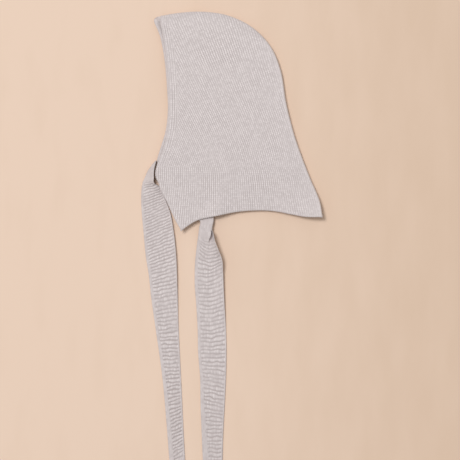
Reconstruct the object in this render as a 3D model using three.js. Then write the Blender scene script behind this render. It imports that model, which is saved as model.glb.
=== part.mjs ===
// A child's knit hood with two long ties, lying flat on its side.
// Millimetres, +Z up. The hood lies on z = 0, its face opening towards -X and its neck towards -Y.
// Two alike sides meet along the crown and back. Each side is a head panel, a band along the face
// opening and a neck panel. One tie lies outside, the other is tucked between the two sides.
import * as THREE from "three";

// Thickness of the knit, the space between the two sides, and the gap between pieces
const WALL = 2.2;
const HOLLOW = 5.2;
const GAP = 0.3;
const HEIGHT = 2 * WALL + HOLLOW;
const MIDDLE = HEIGHT / 2;

// How far in from the fold a side bends down to its edge
const FOLD_REACH = 7;
// Width of the band along the face opening, and the height at which the neck panels end
const BAND_WIDTH = 10.5;
const NECK_LINE = 86.7;
// Where the crown turns into the back, and how much shorter the lower side is at its hem
const CROWN_END_X = 36.5;
const LOWER_HEM_RISE = 1.5;

const HOOD_COLOUR = 0xd0c6c5;
const TIE_COLOUR = 0xcdc2c0;

// The fold of crown and back, from the forehead peak to the back corner of the hem
const FOLD = [
  { x: -91.3, y: 266.7 },
  { x: -64.3, y: 271.7 },
  { x: -35.5, y: 273.3 },
  { x: -4.3, y: 268.7 },
  { x: 24.5, y: 254.7 },
  { x: 46.7, y: 231.9 },
  { x: 59.3, y: 203.1 },
  { x: 66.5, y: 162.3 },
  { x: 77.3, y: 120.3 },
  { x: 92.9, y: 77.1 },
  { x: 105.5, y: 46.5 },
  { x: 109.0, y: 26.9 },
];

// The hem round the neck, between its front corner and its back corner
const HEM = [
  { x: -50.0, y: 16.8 },
  { x: -40.5, y: 22.3 },
  { x: -18.7, y: 27.6 },
  { x: 6.5, y: 32.7 },
  { x: 34.0, y: 34.5 },
  { x: 52.0, y: 33.4 },
  { x: 72.5, y: 29.6 },
  { x: 89.3, y: 26.9 },
];

// The front edge of each side, from the front corner of the hem up to the forehead
const UPPER_FRONT = [
  { x: -60.2, y: 10.9 },
  { x: -68.6, y: 26.2 },
  { x: -77.9, y: 46.5 },
  { x: -85.3, y: 60.3 },
  { x: -89.6, y: 71.5 },
  { x: -89.6, y: 82.5 },
  { x: -81.1, y: 110.7 },
  { x: -76.3, y: 131.1 },
  { x: -74.8, y: 155.1 },
  { x: -75.1, y: 181.5 },
  { x: -78.4, y: 221.1 },
  { x: -82.3, y: 247.5 },
  { x: -84.1, y: 268.5 },
];
const LOWER_FRONT = [
  { x: -58.9, y: 12.4 },
  { x: -66.7, y: 27.5 },
  { x: -74.5, y: 45.9 },
  { x: -81.7, y: 61.5 },
  { x: -86.2, y: 75.5 },
  { x: -89.2, y: 92.0 },
  { x: -84.4, y: 110.7 },
  { x: -79.0, y: 128.7 },
  { x: -76.1, y: 152.7 },
  { x: -77.2, y: 183.9 },
  { x: -80.3, y: 217.5 },
  { x: -85.5, y: 243.9 },
  { x: -89.6, y: 254.5 },
  { x: -91.9, y: 261.5 },
  { x: -91.3, y: 266.7 },
];

// A tie is a row of sections across it, from its sewn end, where it is folded over, to its free end.
// A section has a west and an east edge, each an x and a y, a crease at a share of the width between
// them, and the heights of its top and its underside at west edge, crease and east edge.
const FLOOR = [0, 0, 0];
const FLAT = { crease: 0.5, top: [WALL, WALL, WALL], under: FLOOR };
const TIE_LOWER = [
  { west: [-90.8, 94.4], east: [-89.7, 94.0], crease: 0.5, top: [4.4, 4.6, 4.8], under: FLOOR },
  { west: [-94.4, 91.3], east: [-92.0, 90.1], crease: 0.5, top: [4.4, 5.2, 5.8], under: FLOOR },
  { west: [-97.7, 86.7], east: [-93.6, 84.8], crease: 0.5, top: [4.4, 5.6, 6.2], under: FLOOR },
  { west: [-101.2, 81.4], east: [-94.3, 79.5], crease: 0.5, top: [4.4, 5.7, 6.4], under: FLOOR },
  { west: [-104.4, 74.0], east: [-94.2, 74.2], crease: 0.5, top: [4.2, 5.6, 6.4], under: FLOOR },
  { west: [-107.4, 65.1], east: [-90.7, 67.3], crease: 0.5, top: [3.8, 5.2, 6.0], under: FLOOR },
  { west: [-108.5, 57.9], east: [-82.9, 62.0], crease: 0.5, top: [3.2, 4.2, 4.8], under: FLOOR },
  { west: [-108.7, 47.5], east: [-77.2, 50.0], crease: 0.5, top: [2.6, 3.0, 3.4], under: FLOOR },
  { west: [-108.0, 31.5], east: [-73.8, 33.2], ...FLAT },
  { west: [-106.0, 9.9], east: [-69.8, 12.3], ...FLAT },
  { west: [-103.2, -20.1], east: [-66.5, -18.9], ...FLAT },
  { west: [-99.6, -42.9], east: [-65.4, -44.1], ...FLAT },
  { west: [-95.8, -70.5], east: [-64.6, -71.7], ...FLAT },
  { west: [-90.7, -110.1], east: [-63.4, -110.1], ...FLAT },
  { west: [-83.2, -166.5], east: [-60.7, -166.5], ...FLAT },
  { west: [-77.3, -233.7], east: [-57.5, -233.7], ...FLAT },
  { west: [-74.3, -273.3], east: [-55.4, -273.3], ...FLAT },
];

// Folded lengthwise between the two sides, this tie opens as it comes down from under the hem
const FOLDED = { crease: 0.85, top: [6.9, 6.9, 6.9], under: [2.5, 2.5, 2.5] };
const TIE_UPPER = [
  { west: [-86.2, 67.5], east: [-84.5, 86.7], ...FOLDED },
  { west: [-76.3, 57.9], east: [-69.7, 74.7], ...FOLDED },
  { west: [-63.1, 44.1], east: [-52.3, 57.9], ...FOLDED },
  { west: [-48.7, 31.5], east: [-34.3, 42.9], ...FOLDED },
  { west: [-37.9, 21.3], east: [-21.4, 26.1], ...FOLDED },
  { west: [-38.9, 13.5], east: [-22.1, 15.9], crease: 0.88, top: [6.4, 7.0, 5.8], under: [2.5, 2.7, 1.9] },
  { west: [-40.1, 5.1], east: [-21.6, 5.1], crease: 0.81, top: [4.9, 6.8, 3.6], under: [2.0, 3.2, 0.8] },
  { west: [-41.3, -3.3], east: [-19.6, -3.3], crease: 0.65, top: [3.6, 6.3, 2.6], under: [1.0, 3.6, 0.1] },
  { west: [-42.4, -12.9], east: [-16.2, -12.9], crease: 0.58, top: [2.6, 5.2, 2.3], under: [0.2, 2.8, 0] },
  { west: [-43.7, -24.9], east: [-11.5, -24.9], crease: 0.51, top: [2.2, 3.6, 2.2], under: [0, 1.3, 0] },
  { west: [-44.4, -39.3], east: [-10.1, -39.3], crease: 0.5, top: [2.2, 2.5, 2.2], under: [0, 0.2, 0] },
  { west: [-44.3, -56.1], east: [-9.5, -56.1], ...FLAT },
  { west: [-42.7, -76.5], east: [-8.5, -76.5], ...FLAT },
  { west: [-40.8, -108.9], east: [-6.6, -108.9], ...FLAT },
  { west: [-40.3, -135.3], east: [-6.1, -135.3], ...FLAT },
  { west: [-37.9, -166.5], east: [-6.7, -166.5], ...FLAT },
  { west: [-37.3, -200.1], east: [-8.3, -200.1], ...FLAT },
  { west: [-36.0, -233.7], east: [-10.0, -233.7], ...FLAT },
  { west: [-34.4, -273.3], east: [-11.0, -273.3], ...FLAT },
];

// A tie's edges are a little thinner than its middle, and ridges run across its top
const EDGE_SHARE = 0.07;
const EDGE_DROP = 0.6;
const EDGE_LIFT = 0.3;
const RIDGE_PITCH = 4.7;
const RIDGE_DEPTH = 0.5;

// Steps of the grids: even over a panel, and finer where it bends down to the fold
const PANEL_STEPS_ACROSS = 12;
const HEAD_STEPS_UP = 13;
const NECK_STEPS_UP = 5;
const BAND_STEPS_ACROSS = 2;
const BEND_STEPS = 5;
const BEND_SHARE = 0.055;

function curveThrough(rows) {
  const points = rows.map((row) => new THREE.Vector3(row.x, row.y, 0));
  return new THREE.CatmullRomCurve3(points, false, "centripetal");
}

// How far along a curve, from 0 to 1, it reaches a value of x or y
function shareAt(curve, axis, value) {
  const rising = curve.getPointAt(1)[axis] > curve.getPointAt(0)[axis];
  let low = 0;
  let high = 1;
  for (let halving = 0; halving < 30; halving += 1) {
    const share = (low + high) / 2;
    if (curve.getPointAt(share)[axis] < value === rising) {
      low = share;
    } else {
      high = share;
    }
  }
  return (low + high) / 2;
}

function stretchOf(curve, from, to) {
  return (share) => curve.getPointAt(from + (to - from) * share);
}

function straight(from, to) {
  return (share) => from.clone().lerp(to, share);
}

// The surface in the plane between four edges that share their corners
function patchBetween(bottom, top, left, right) {
  return (across, up) => {
    const edges = bottom(across).lerp(top(across), up).add(left(up).lerp(right(up), across));
    const corners = bottom(0).lerp(bottom(1), across).lerp(top(0).lerp(top(1), across), up);
    return edges.sub(corners);
  };
}

const fold = curveThrough(FOLD);
const foldPoints = fold.getSpacedPoints(200);
const foldAtX = (x) => fold.getPointAt(shareAt(fold, "x", x));

// Distance of a point from the fold, and the way straight in from there
function fromFold(point) {
  let nearest = { distance: Infinity };
  for (let index = 1; index < foldPoints.length; index += 1) {
    const segment = new THREE.Line3(foldPoints[index - 1], foldPoints[index]);
    const foot = segment.closestPointToPoint(point, true, new THREE.Vector3());
    const distance = foot.distanceTo(point);
    if (distance < nearest.distance) {
      const along = segment.delta(new THREE.Vector3()).normalize();
      nearest = { distance, inward: new THREE.Vector3(along.y, -along.x, 0) };
    }
  }
  return nearest;
}

// The outer and the inner face of the upper side's wall over a point of its plan
function wallOver(point) {
  const { distance, inward } = fromFold(point);
  const flatness = Math.min(distance / FOLD_REACH, 1);
  const rise = Math.sqrt(1 - (1 - flatness) ** 2);
  const outer = point.clone();
  outer.z = MIDDLE + Math.max((rise * HEIGHT) / 2, GAP / 2);
  const inner = point.clone().addScaledVector(inward, WALL * (1 - flatness));
  inner.z = MIDDLE + Math.max((rise * HOLLOW) / 2, GAP / 2);
  return { outer, inner };
}

// Steps from 0 to 1, finer towards 1 where a panel ends at the fold
function stepsTo(count, endsAtFold) {
  const flatEnd = endsAtFold ? 1 - BEND_SHARE : 1;
  const shares = Array.from({ length: count + 1 }, (_, step) => (flatEnd * step) / count);
  const bends = endsAtFold ? BEND_STEPS : 0;
  for (let step = 1; step <= bends; step += 1) {
    const angleLeft = (Math.PI / 2) * (1 - step / bends);
    shares.push(1 - BEND_SHARE * (1 - Math.cos(angleLeft)));
  }
  return shares;
}

function meshOf(name, corners, triangles, color) {
  const geometry = new THREE.BufferGeometry();
  const numbers = corners.flatMap((corner) => corner.toArray());
  geometry.setAttribute("position", new THREE.Float32BufferAttribute(numbers, 3));
  geometry.setIndex(triangles);
  geometry.computeVertexNormals();
  const mesh = new THREE.Mesh(
    geometry,
    new THREE.MeshStandardMaterial({ color, roughness: 0.95, metalness: 0 }),
  );
  mesh.name = name;
  return mesh;
}

// The numbers of a grid's outermost points, anticlockwise from its first corner
function borderOf(columns, rows) {
  const border = [];
  for (let column = 0; column < columns; column += 1) {
    border.push(column);
  }
  for (let row = 1; row < rows; row += 1) {
    border.push(row * columns + columns - 1);
  }
  for (let column = columns - 2; column >= 0; column -= 1) {
    border.push((rows - 1) * columns + column);
  }
  for (let row = rows - 2; row > 0; row -= 1) {
    border.push(row * columns);
  }
  return border;
}

// The wall over a patch: its outer face, its inner face and the rim round both. On the lower side
// it is the same wall turned upside down.
function wallMesh(name, patch, acrossSteps, upSteps) {
  const walls = upSteps.flatMap((up) => acrossSteps.map((across) => wallOver(patch(across, up))));
  const corners = [...walls.map((wall) => wall.outer), ...walls.map((wall) => wall.inner)];
  const columns = acrossSteps.length;
  const triangles = [];
  const addQuad = (a, b, c, d) => triangles.push(a, b, c, a, c, d);
  for (let row = 0; row < upSteps.length - 1; row += 1) {
    for (let column = 0; column < columns - 1; column += 1) {
      const outer = row * columns + column;
      const inner = outer + walls.length;
      addQuad(outer, outer + 1, outer + columns + 1, outer + columns);
      addQuad(inner, inner + columns, inner + columns + 1, inner + 1);
    }
  }
  const border = borderOf(columns, upSteps.length);
  border.forEach((here, index) => {
    const next = border[(index + 1) % border.length];
    addQuad(here, here + walls.length, next + walls.length, next);
  });
  if (name.endsWith("lower")) {
    corners.forEach((corner) => corner.setZ(HEIGHT - corner.z));
    triangles.reverse();
  }
  return meshOf(name, corners, triangles, HOOD_COLOUR);
}

// The three pieces of one side, between its front edge, its hem and the fold
function makeSide(side, frontRows, hemRise) {
  const front = curveThrough([...frontRows.slice(0, -1), foldAtX(frontRows.at(-1).x)]);
  const hemEnd = fold.getPointAt(shareAt(fold, "y", FOLD.at(-1).y + hemRise));
  const hemRows = HEM.map((row) => ({ x: row.x, y: row.y + hemRise }));
  const hem = curveThrough([frontRows[0], ...hemRows, hemEnd]);
  const acrossSteps = stepsTo(PANEL_STEPS_ACROSS, true);
  const upSteps = stepsTo(HEAD_STEPS_UP, true);

  const neckTop = NECK_LINE - GAP / 2;
  const neckFront = stretchOf(front, 0, shareAt(front, "y", neckTop));
  const neckBack = stretchOf(fold, shareAt(fold, "y", hemEnd.y), shareAt(fold, "y", neckTop));
  const neckPatch = patchBetween(
    stretchOf(hem, 0, 1),
    straight(neckFront(1), neckBack(1)),
    neckFront,
    neckBack,
  );

  const headBottom = NECK_LINE + GAP / 2;
  const faceEdge = stretchOf(front, shareAt(front, "y", headBottom), 1);
  const forehead = faceEdge(1);
  // A line beside the face edge, which ends on the fold as the face edge does
  const besideFace = (width) => {
    const rise = foldAtX(forehead.x + width).y - forehead.y;
    return (up) => faceEdge(up).add(new THREE.Vector3(width, rise * up, 0));
  };
  const foldBetween = (fromX, toX) => stretchOf(fold, shareAt(fold, "x", fromX), shareAt(fold, "x", toX));
  const bandEdge = besideFace(BAND_WIDTH - GAP / 2);
  const bandPatch = patchBetween(
    straight(faceEdge(0), bandEdge(0)),
    foldBetween(forehead.x, bandEdge(1).x),
    faceEdge,
    bandEdge,
  );

  const headEdge = besideFace(BAND_WIDTH + GAP / 2);
  const back = stretchOf(fold, shareAt(fold, "y", headBottom), shareAt(fold, "x", CROWN_END_X));
  const headPatch = patchBetween(
    straight(headEdge(0), back(0)),
    foldBetween(headEdge(1).x, CROWN_END_X),
    headEdge,
    back,
  );

  return new THREE.Group().add(
    wallMesh(`head_panel_${side}`, headPatch, acrossSteps, upSteps),
    wallMesh(`face_band_${side}`, bandPatch, stepsTo(BAND_STEPS_ACROSS, false), upSteps),
    wallMesh(`neck_panel_${side}`, neckPatch, acrossSteps, stepsTo(NECK_STEPS_UP, false)),
  );
}

// A number that runs evenly from the west edge's value over the crease's to the east edge's
function acrossTie(values, crease, share) {
  if (share < crease) {
    return THREE.MathUtils.lerp(values.x, values.y, share / crease);
  }
  return THREE.MathUtils.lerp(values.y, values.z, (share - crease) / (1 - crease));
}

// A tie lofted through its sections, a ring on each ridge and in each groove, with closed ends
function makeTie(name, sections) {
  const along = (place) => new THREE.CatmullRomCurve3(sections.map(place), false, "centripetal");
  const west = along((row) => new THREE.Vector3(...row.west, 0));
  const east = along((row) => new THREE.Vector3(...row.east, 0));
  const tops = along((row) => new THREE.Vector3(...row.top));
  const unders = along((row) => new THREE.Vector3(...row.under));
  const creases = along((row) => new THREE.Vector3(row.crease, 0, 0));

  const middle = new THREE.CatmullRomCurve3(
    west.points.map((point, index) => point.clone().lerp(east.points[index], 0.5)),
    false,
    "centripetal",
  );
  const ringCount = 2 * Math.round(middle.getLength() / RIDGE_PITCH) + 1;
  const corners = [];
  let ringSize = 0;
  for (let ring = 0; ring < ringCount; ring += 1) {
    const place = middle.getUtoTmapping(ring / (ringCount - 1));
    const crease = creases.getPoint(place).x;
    const shares = [0, EDGE_SHARE, crease, 1 - EDGE_SHARE, 1].sort((a, b) => a - b);
    ringSize = 2 * shares.length;
    const cornerAt = (share, heights, edgeLift, lift) => {
      const corner = west.getPoint(place).lerp(east.getPoint(place), share);
      const isEdge = share === 0 || share === 1;
      return corner.setZ(Math.max(0, acrossTie(heights, crease, share)) + (isEdge ? edgeLift : lift));
    };
    const underSide = unders.getPoint(place);
    const topSide = tops.getPoint(place);
    const groove = ring % 2 === 0 ? -RIDGE_DEPTH : 0;
    corners.push(...shares.map((share) => cornerAt(share, underSide, EDGE_LIFT, 0)));
    corners.push(...shares.reverse().map((share) => cornerAt(share, topSide, -EDGE_DROP, groove)));
  }

  const triangles = [];
  for (let ring = 0; ring < ringCount - 1; ring += 1) {
    for (let step = 0; step < ringSize; step += 1) {
      const here = ring * ringSize + step;
      const next = ring * ringSize + ((step + 1) % ringSize);
      triangles.push(here, next, next + ringSize, here, next + ringSize, here + ringSize);
    }
  }
  const lastRing = (ringCount - 1) * ringSize;
  for (let step = 0; step < ringSize / 2 - 1; step += 1) {
    const opposite = ringSize - 1 - step;
    triangles.push(step, opposite, step + 1, step + 1, opposite, opposite - 1);
    triangles.push(lastRing + step, lastRing + step + 1, lastRing + opposite);
    triangles.push(lastRing + step + 1, lastRing + opposite - 1, lastRing + opposite);
  }
  return meshOf(name, corners, triangles, TIE_COLOUR);
}

const hood = new THREE.Group().add(
  makeSide("upper", UPPER_FRONT, 0),
  makeSide("lower", LOWER_FRONT, LOWER_HEM_RISE),
  makeTie("tie_upper", TIE_UPPER),
  makeTie("tie_lower", TIE_LOWER),
);

export default hood;
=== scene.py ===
import math

import bpy
import numpy as np
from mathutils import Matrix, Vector, noise
from mathutils.geometry import delaunay_2d_cdt
from mathutils.kdtree import KDTree


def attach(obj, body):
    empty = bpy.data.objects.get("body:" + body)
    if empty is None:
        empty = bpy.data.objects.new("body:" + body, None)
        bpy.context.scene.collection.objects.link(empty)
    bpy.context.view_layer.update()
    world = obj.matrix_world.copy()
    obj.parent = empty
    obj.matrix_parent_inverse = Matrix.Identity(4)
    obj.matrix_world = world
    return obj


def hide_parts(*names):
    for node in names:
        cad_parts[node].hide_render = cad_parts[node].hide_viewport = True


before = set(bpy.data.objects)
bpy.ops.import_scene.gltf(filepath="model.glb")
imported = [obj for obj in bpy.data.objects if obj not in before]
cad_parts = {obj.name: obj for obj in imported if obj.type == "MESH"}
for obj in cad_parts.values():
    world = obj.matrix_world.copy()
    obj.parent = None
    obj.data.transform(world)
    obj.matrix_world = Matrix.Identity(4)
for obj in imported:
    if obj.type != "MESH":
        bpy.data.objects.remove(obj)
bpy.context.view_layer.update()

# The hood is photographed from straight above on a plain table, in soft daylight from the upper
# left. The table is matt painted board, its colour darkened towards the right as painted shade for
# the daylight falling off, and the view is 552 mm wide.
MM = 0.001
VIEW_WIDTH = 552 * MM
VIEW_CENTRE = (-1.9 * MM, 11.1 * MM)
EYE_HEIGHT = 2.5
CLOTH_HEIGHT = 5 * MM
TABLE_SIZE = 6.0
TABLE_COLOUR = (0.80, 0.615, 0.487, 1)
# The board's colour at the right: painted shade for the daylight falling off
TABLE_PAINTED_SHADE = (0.71, 0.532, 0.402, 1)
PAINTED_SHADE_START = -0.15
PAINTED_SHADE_END = 0.32
BOARD_STREAKS = (1.0, 0.3, 1.0)
BOARD_MOTTLE = 0.9
BOARD_MOTTLE_SCALE = 30.0
BOARD_GRAIN_SCALE = 900.0
BOARD_GRAIN_DEPTH = 0.2 * MM
BOARD_GRAIN_STRENGTH = 0.12
BOARD_ROUGHNESS = 0.85
SKY_COLOUR = (1.0, 0.985, 0.975, 1)
SKY_STRENGTH = 0.42
WINDOW_DISTANCE = 6.0
WINDOW_SLOPE = math.radians(70)
WINDOW_TURN = math.radians(140)
WINDOW_SIZE = 1.7
WINDOW_POWER = 225

scene = bpy.context.scene
scene.view_settings.view_transform = "Standard"


def add_node(tree, kind, inputs=None, **settings):
    """A new node. Inputs are linked where the value is another node's socket, and set otherwise."""
    node = tree.nodes.new(kind)
    for name, value in settings.items():
        setattr(node, name, value)
    for key, value in (inputs or {}).items():
        if isinstance(value, bpy.types.NodeSocket):
            tree.links.new(value, node.inputs[key])
        else:
            node.inputs[key].default_value = value
    return node.outputs


def maths(tree, operation, *values):
    """The result of a Math node on one to three values."""
    return add_node(tree, "ShaderNodeMath", dict(enumerate(values)), operation=operation)[0]


def new_material(name):
    """A bare node material, and its node tree."""
    material = bpy.data.materials.new(name)
    material.use_nodes = True
    material.node_tree.nodes.clear()
    return material, material.node_tree


def mixed(tree, share, first, second):
    """A colour between two colours, through the Mix node's sockets for colours."""
    inputs = {0: share, 6: first, 7: second}
    return add_node(tree, "ShaderNodeMix", inputs, data_type="RGBA")[2]


def finish_material(tree, colour, bump, roughness, sheen=0.0):
    """Ends a material in its Principled shader."""
    inputs = {
        "Base Color": colour, "Roughness": roughness, "Normal": bump, "Sheen Weight": sheen
    }
    shader = add_node(tree, "ShaderNodeBsdfPrincipled", inputs)
    add_node(tree, "ShaderNodeOutputMaterial", {"Surface": shader[0]})


board, board_tree = new_material("painted board")
board_place = add_node(board_tree, "ShaderNodeTexCoord")["Object"]
board_side = add_node(board_tree, "ShaderNodeSeparateXYZ", {"Vector": board_place})["X"]
# Painted shade: the board's colour darkens from left to right, for the daylight falling off
board_painted_falloff = add_node(
    board_tree,
    "ShaderNodeMapRange",
    {"Value": board_side, "From Min": PAINTED_SHADE_START, "From Max": PAINTED_SHADE_END},
    interpolation_type="SMOOTHSTEP",
)
board_streaks = add_node(
    board_tree, "ShaderNodeMapping", {"Vector": board_place, "Scale": BOARD_STREAKS}
)[0]
board_mottle = add_node(
    board_tree,
    "ShaderNodeTexNoise",
    {"Vector": board_streaks, "Scale": BOARD_MOTTLE_SCALE, "Detail": 4.0},
)["Fac"]
board_uneven = maths(board_tree, "SUBTRACT", board_mottle, 0.5)
board_mottle_and_shade = maths(
    board_tree, "MULTIPLY_ADD", board_uneven, BOARD_MOTTLE, board_painted_falloff["Result"]
)
board_grain = add_node(
    board_tree,
    "ShaderNodeTexNoise",
    {"Vector": board_place, "Scale": BOARD_GRAIN_SCALE, "Detail": 3.0},
)["Fac"]
board_bump = add_node(
    board_tree,
    "ShaderNodeBump",
    {"Strength": BOARD_GRAIN_STRENGTH, "Distance": BOARD_GRAIN_DEPTH, "Height": board_grain},
)[0]
# The board's colour: its own mottle, with painted shade towards the right
board_colour = mixed(board_tree, board_mottle_and_shade, TABLE_COLOUR, TABLE_PAINTED_SHADE)
finish_material(board_tree, board_colour, board_bump, BOARD_ROUGHNESS)

bpy.ops.mesh.primitive_plane_add(size=TABLE_SIZE)
table = bpy.context.object
table.name = "table"
table.data.materials.append(board)

window = bpy.data.objects.new("window", bpy.data.lights.new("window", "AREA"))
window.data.size = WINDOW_SIZE
window.data.energy = WINDOW_POWER
window.location = WINDOW_DISTANCE * Vector((
    math.cos(WINDOW_SLOPE) * math.cos(WINDOW_TURN),
    math.cos(WINDOW_SLOPE) * math.sin(WINDOW_TURN),
    math.sin(WINDOW_SLOPE),
))
window.rotation_euler = (-window.location).to_track_quat("-Z", "Y").to_euler()
scene.collection.objects.link(window)

sky = bpy.data.worlds.new("sky")
sky.use_nodes = True
sky.node_tree.nodes["Background"].inputs["Color"].default_value = SKY_COLOUR
sky.node_tree.nodes["Background"].inputs["Strength"].default_value = SKY_STRENGTH
scene.world = sky

camera = bpy.data.objects.new("camera", bpy.data.cameras.new("camera"))
camera.location = (*VIEW_CENTRE, EYE_HEIGHT + CLOTH_HEIGHT)
camera.data.lens = camera.data.sensor_width * EYE_HEIGHT / VIEW_WIDTH
scene.collection.objects.link(camera)
scene.camera = camera

# The head panels, one on each side of the head: plain knit in a cotton yarn, whose ribs lean
# back as they rise. They run over the crown and the back in a soft bend, down to the line where
# the two sides meet. Lengths here and in the tables below are in millimetres.
WALL = 2.2
HEIGHT = 9.6
MIDDLE = HEIGHT / 2
HOLLOW = HEIGHT - 2 * WALL
BEND_REACH = 2.7
MEETING_GAP = 0.1
BAND_WIDTH = 10.5
NECK_LINE = 86.7
SEAM_GAP = 0.02
BROW = -84.1
BROW_EASE = 9.0

# Points x, y: the fold over crown and back, and each side's front edge from the hem upwards
FOLD = [
    (-90.3, 267.2), (-64.3, 271.7), (-35.5, 273.3), (-4.3, 268.7), (24.5, 254.7), (46.7, 231.9),
    (59.0, 203.1), (66.0, 162.3), (77.0, 120.3), (92.9, 77.1), (105.5, 46.5), (109.0, 26.9),
]
FRONT_EDGES = {
    "upper": [
        (-60.2, 10.9), (-68.6, 26.2), (-77.9, 46.5), (-84.9, 60.3), (-87.2, 67.5),
        (-90.3, 73.8), (-91.1, 78.0), (-90.5, 83.1), (-88.9, 89.1), (-81.1, 110.7),
        (-76.3, 131.1), (-74.8, 155.1), (-75.1, 181.5), (-78.4, 221.1), (-82.6, 247.5),
        (-85.0, 260.5), (-84.1, 268.5),
    ],
    "lower": [
        (-58.9, 12.4), (-66.7, 27.5), (-74.5, 45.9), (-81.7, 61.5), (-86.2, 75.5),
        (-89.2, 92.0), (-84.4, 110.7), (-79.0, 128.7), (-76.1, 152.7), (-77.2, 183.9),
        (-80.3, 217.5), (-85.5, 243.9), (-89.4, 253.9), (-91.9, 259.4), (-92.5, 263.4),
        (-90.3, 267.2),
    ],
}
LINE_STEP = 0.25
SPLINE_STEPS = 60
BEND_STEPS = 400
TINY = 1e-4

RIB_PITCH = 2.64
COURSE_PITCH = 2.2
MESH_LINES = 4
CROSSING_ROUNDS = 14

# The ribs' leans: a height y, and how far a rib leans back there, in degrees
RIB_LEANS = [(280, 15), (240, 17), (190, 21), (150, 24), (115, 22), (95, 18), (80, 14)]
RIB_FAN = 0.0014
RIB_FAN_HEIGHT = 160
COURSE_TILT = math.radians(20)

EDGE_ROUND = 1.05
EDGE_RINGS = (0.14, 0.5, EDGE_ROUND)
EDGE_CLEARANCE = 0.35
RING_GAP = 0.1
SEAM_RELIEF = 0.5
SEAM_EASE = 1.2
LEAST_OPEN = 0.05
INNER_STEP = 3.0
OUTLINE_STEP = 0.6

# Where the hem stands off the table or sags: a place x, y, how far it rises, and how far around
LIFTS = {
    "upper": [
        ((-60.0, 11.0), 2.6, 26.0), ((-17.0, 28.0), 5.0, 14.0), ((38.0, 34.0), -2.8, 34.0),
        ((109.0, 27.0), 8.8, 24.0),
    ],
    "lower": [((109.0, 27.0), 8.8, 24.0)],
}
CURL_HEIGHT = 4.0
CURL_FLAT = 2.0
CURL_REACH = 5.0
CURL_FOOT = 90.0
BILLOW_HEIGHT = 1.1
BILLOW_SIZE = 38.0
BILLOW_EASE = 22.0

# Painted shade over the crown's bend and towards the neck's hem, and a painted highlight on the
# bend down the back
CROWN_REACH = 7.5
BACK_REACH = 3.5
FOLD_TURN = 1.5
FOLD_FALL = 4
NECK_SHADE = 0.35
NECK_EASE = 50.0

# Near the fold the ribs are pressed flatter, and everywhere they wander a little
FLATTENED = 0.35
FLATTENED_REACH = 18.0
WANDER = 0.16
WANDER_SIZE = 7.0

RIB_ROUND = 0.7
RIB_DEPTH = 0.6
STITCH_SHARE = 0.4

CHAIN_PITCH = 2.64
LOOP_LENGTH = 3.4
LOOP_SHAPE = (1.0, 0.36, 0.52)
LOOP_SEGMENTS = 8
LOOP_RINGS = 5
LOOP_TILT = math.radians(14)
LOOP_SLANT = math.radians(9)


def smooth_line(points):
    """A centripetal spline through points of any dimension, as a line of short steps."""
    points = np.asarray(points, float)
    before = 2 * points[:1] - points[1:2]
    after = 2 * points[-1:] - points[-2:-1]
    padded = np.vstack([before, points, after])
    shares = np.linspace(0, 1, SPLINE_STEPS, endpoint=False)[:, None]
    stretches = []
    for index in range(len(points) - 1):
        a, b, c, d = padded[index:index + 4]
        ab, bc, cd = (math.sqrt(np.linalg.norm(step)) for step in (b - a, c - b, d - c))
        bc = bc if bc > TINY else 1.0
        ab = ab if ab > TINY else bc
        cd = cd if cd > TINY else bc
        start = ((b - a) / ab - (c - a) / (ab + bc) + (c - b) / bc) * bc
        end = ((c - b) / bc - (d - b) / (bc + cd) + (d - c) / cd) * bc
        bend = 3 * (c - b) - 2 * start - end
        twist = 2 * (b - c) + start + end
        stretches.append(b + shares * (start + shares * (bend + shares * twist)))
    return np.vstack([*stretches, points[-1:]])


def lengths_along(line):
    """How far along a line each of its points is."""
    steps = np.linalg.norm(np.diff(line, axis=0), axis=1)
    return np.concatenate([[0], np.cumsum(steps)])


def spaced(line, step):
    """The line again, in even steps of about that length."""
    lengths = lengths_along(line)
    count = max(2, round(lengths[-1] / step) + 1)
    places = np.linspace(0, lengths[-1], count)
    return np.stack([np.interp(places, lengths, line[:, axis]) for axis in (0, 1)], 1)


def cut_at(line, axis, low, high):
    """The stretch of a line between two values of x or y, which rise along it."""
    places = np.arange(len(line))
    ends = np.interp([low, high], line[:, axis], places)
    between = places[(places > ends[0]) & (places < ends[1])]
    kept = np.concatenate([ends[:1], between, ends[1:]])
    return np.stack([np.interp(kept, places, line[:, axis]) for axis in (0, 1)], 1)


def point_at(line, axis, value):
    """The first point of a line where x or y has that value, rising along it."""
    return cut_at(line, axis, value, value)[0]


def beside(line):
    """Unit vectors along a line and to its left, at each of its points."""
    along = np.gradient(line, axis=0)
    along /= np.linalg.norm(along, axis=1, keepdims=True)
    return along, np.stack([-along[:, 1], along[:, 0]], 1)


def placed_by(line, points):
    """For each point, the nearest point of a line, and how far along and left of it it lies."""
    tree = KDTree(len(line))
    for index, (x, y) in enumerate(line):
        tree.insert((x, y, 0), index)
    tree.balance()
    nearest = np.array([tree.find((x, y, 0))[1] for x, y in points])
    along, left = beside(line)
    offsets = points - line[nearest]
    return nearest, (offsets * along[nearest]).sum(1), (offsets * left[nearest]).sum(1)


def distance_from(line, points):
    """How far inside a border each point lies."""
    _, along, left = placed_by(line, points)
    past_end = np.maximum(np.abs(along) - LINE_STEP, 0)
    return np.hypot(left, past_end)


# Length of the quarter bend over the fold, at even turns of its angle
turns = np.linspace(0, math.pi / 2, BEND_STEPS)
bend_lengths = lengths_along(
    np.stack([BEND_REACH * (1 - np.cos(turns)), MIDDLE * np.sin(turns)], 1)
)
BEND_EXTRA = bend_lengths[-1] - BEND_REACH

# Seen with the cloth to its left, the fold runs up the back and over the crown
fold = spaced(smooth_line(FOLD), LINE_STEP)[::-1]
fold_along, fold_in = beside(fold)


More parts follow.
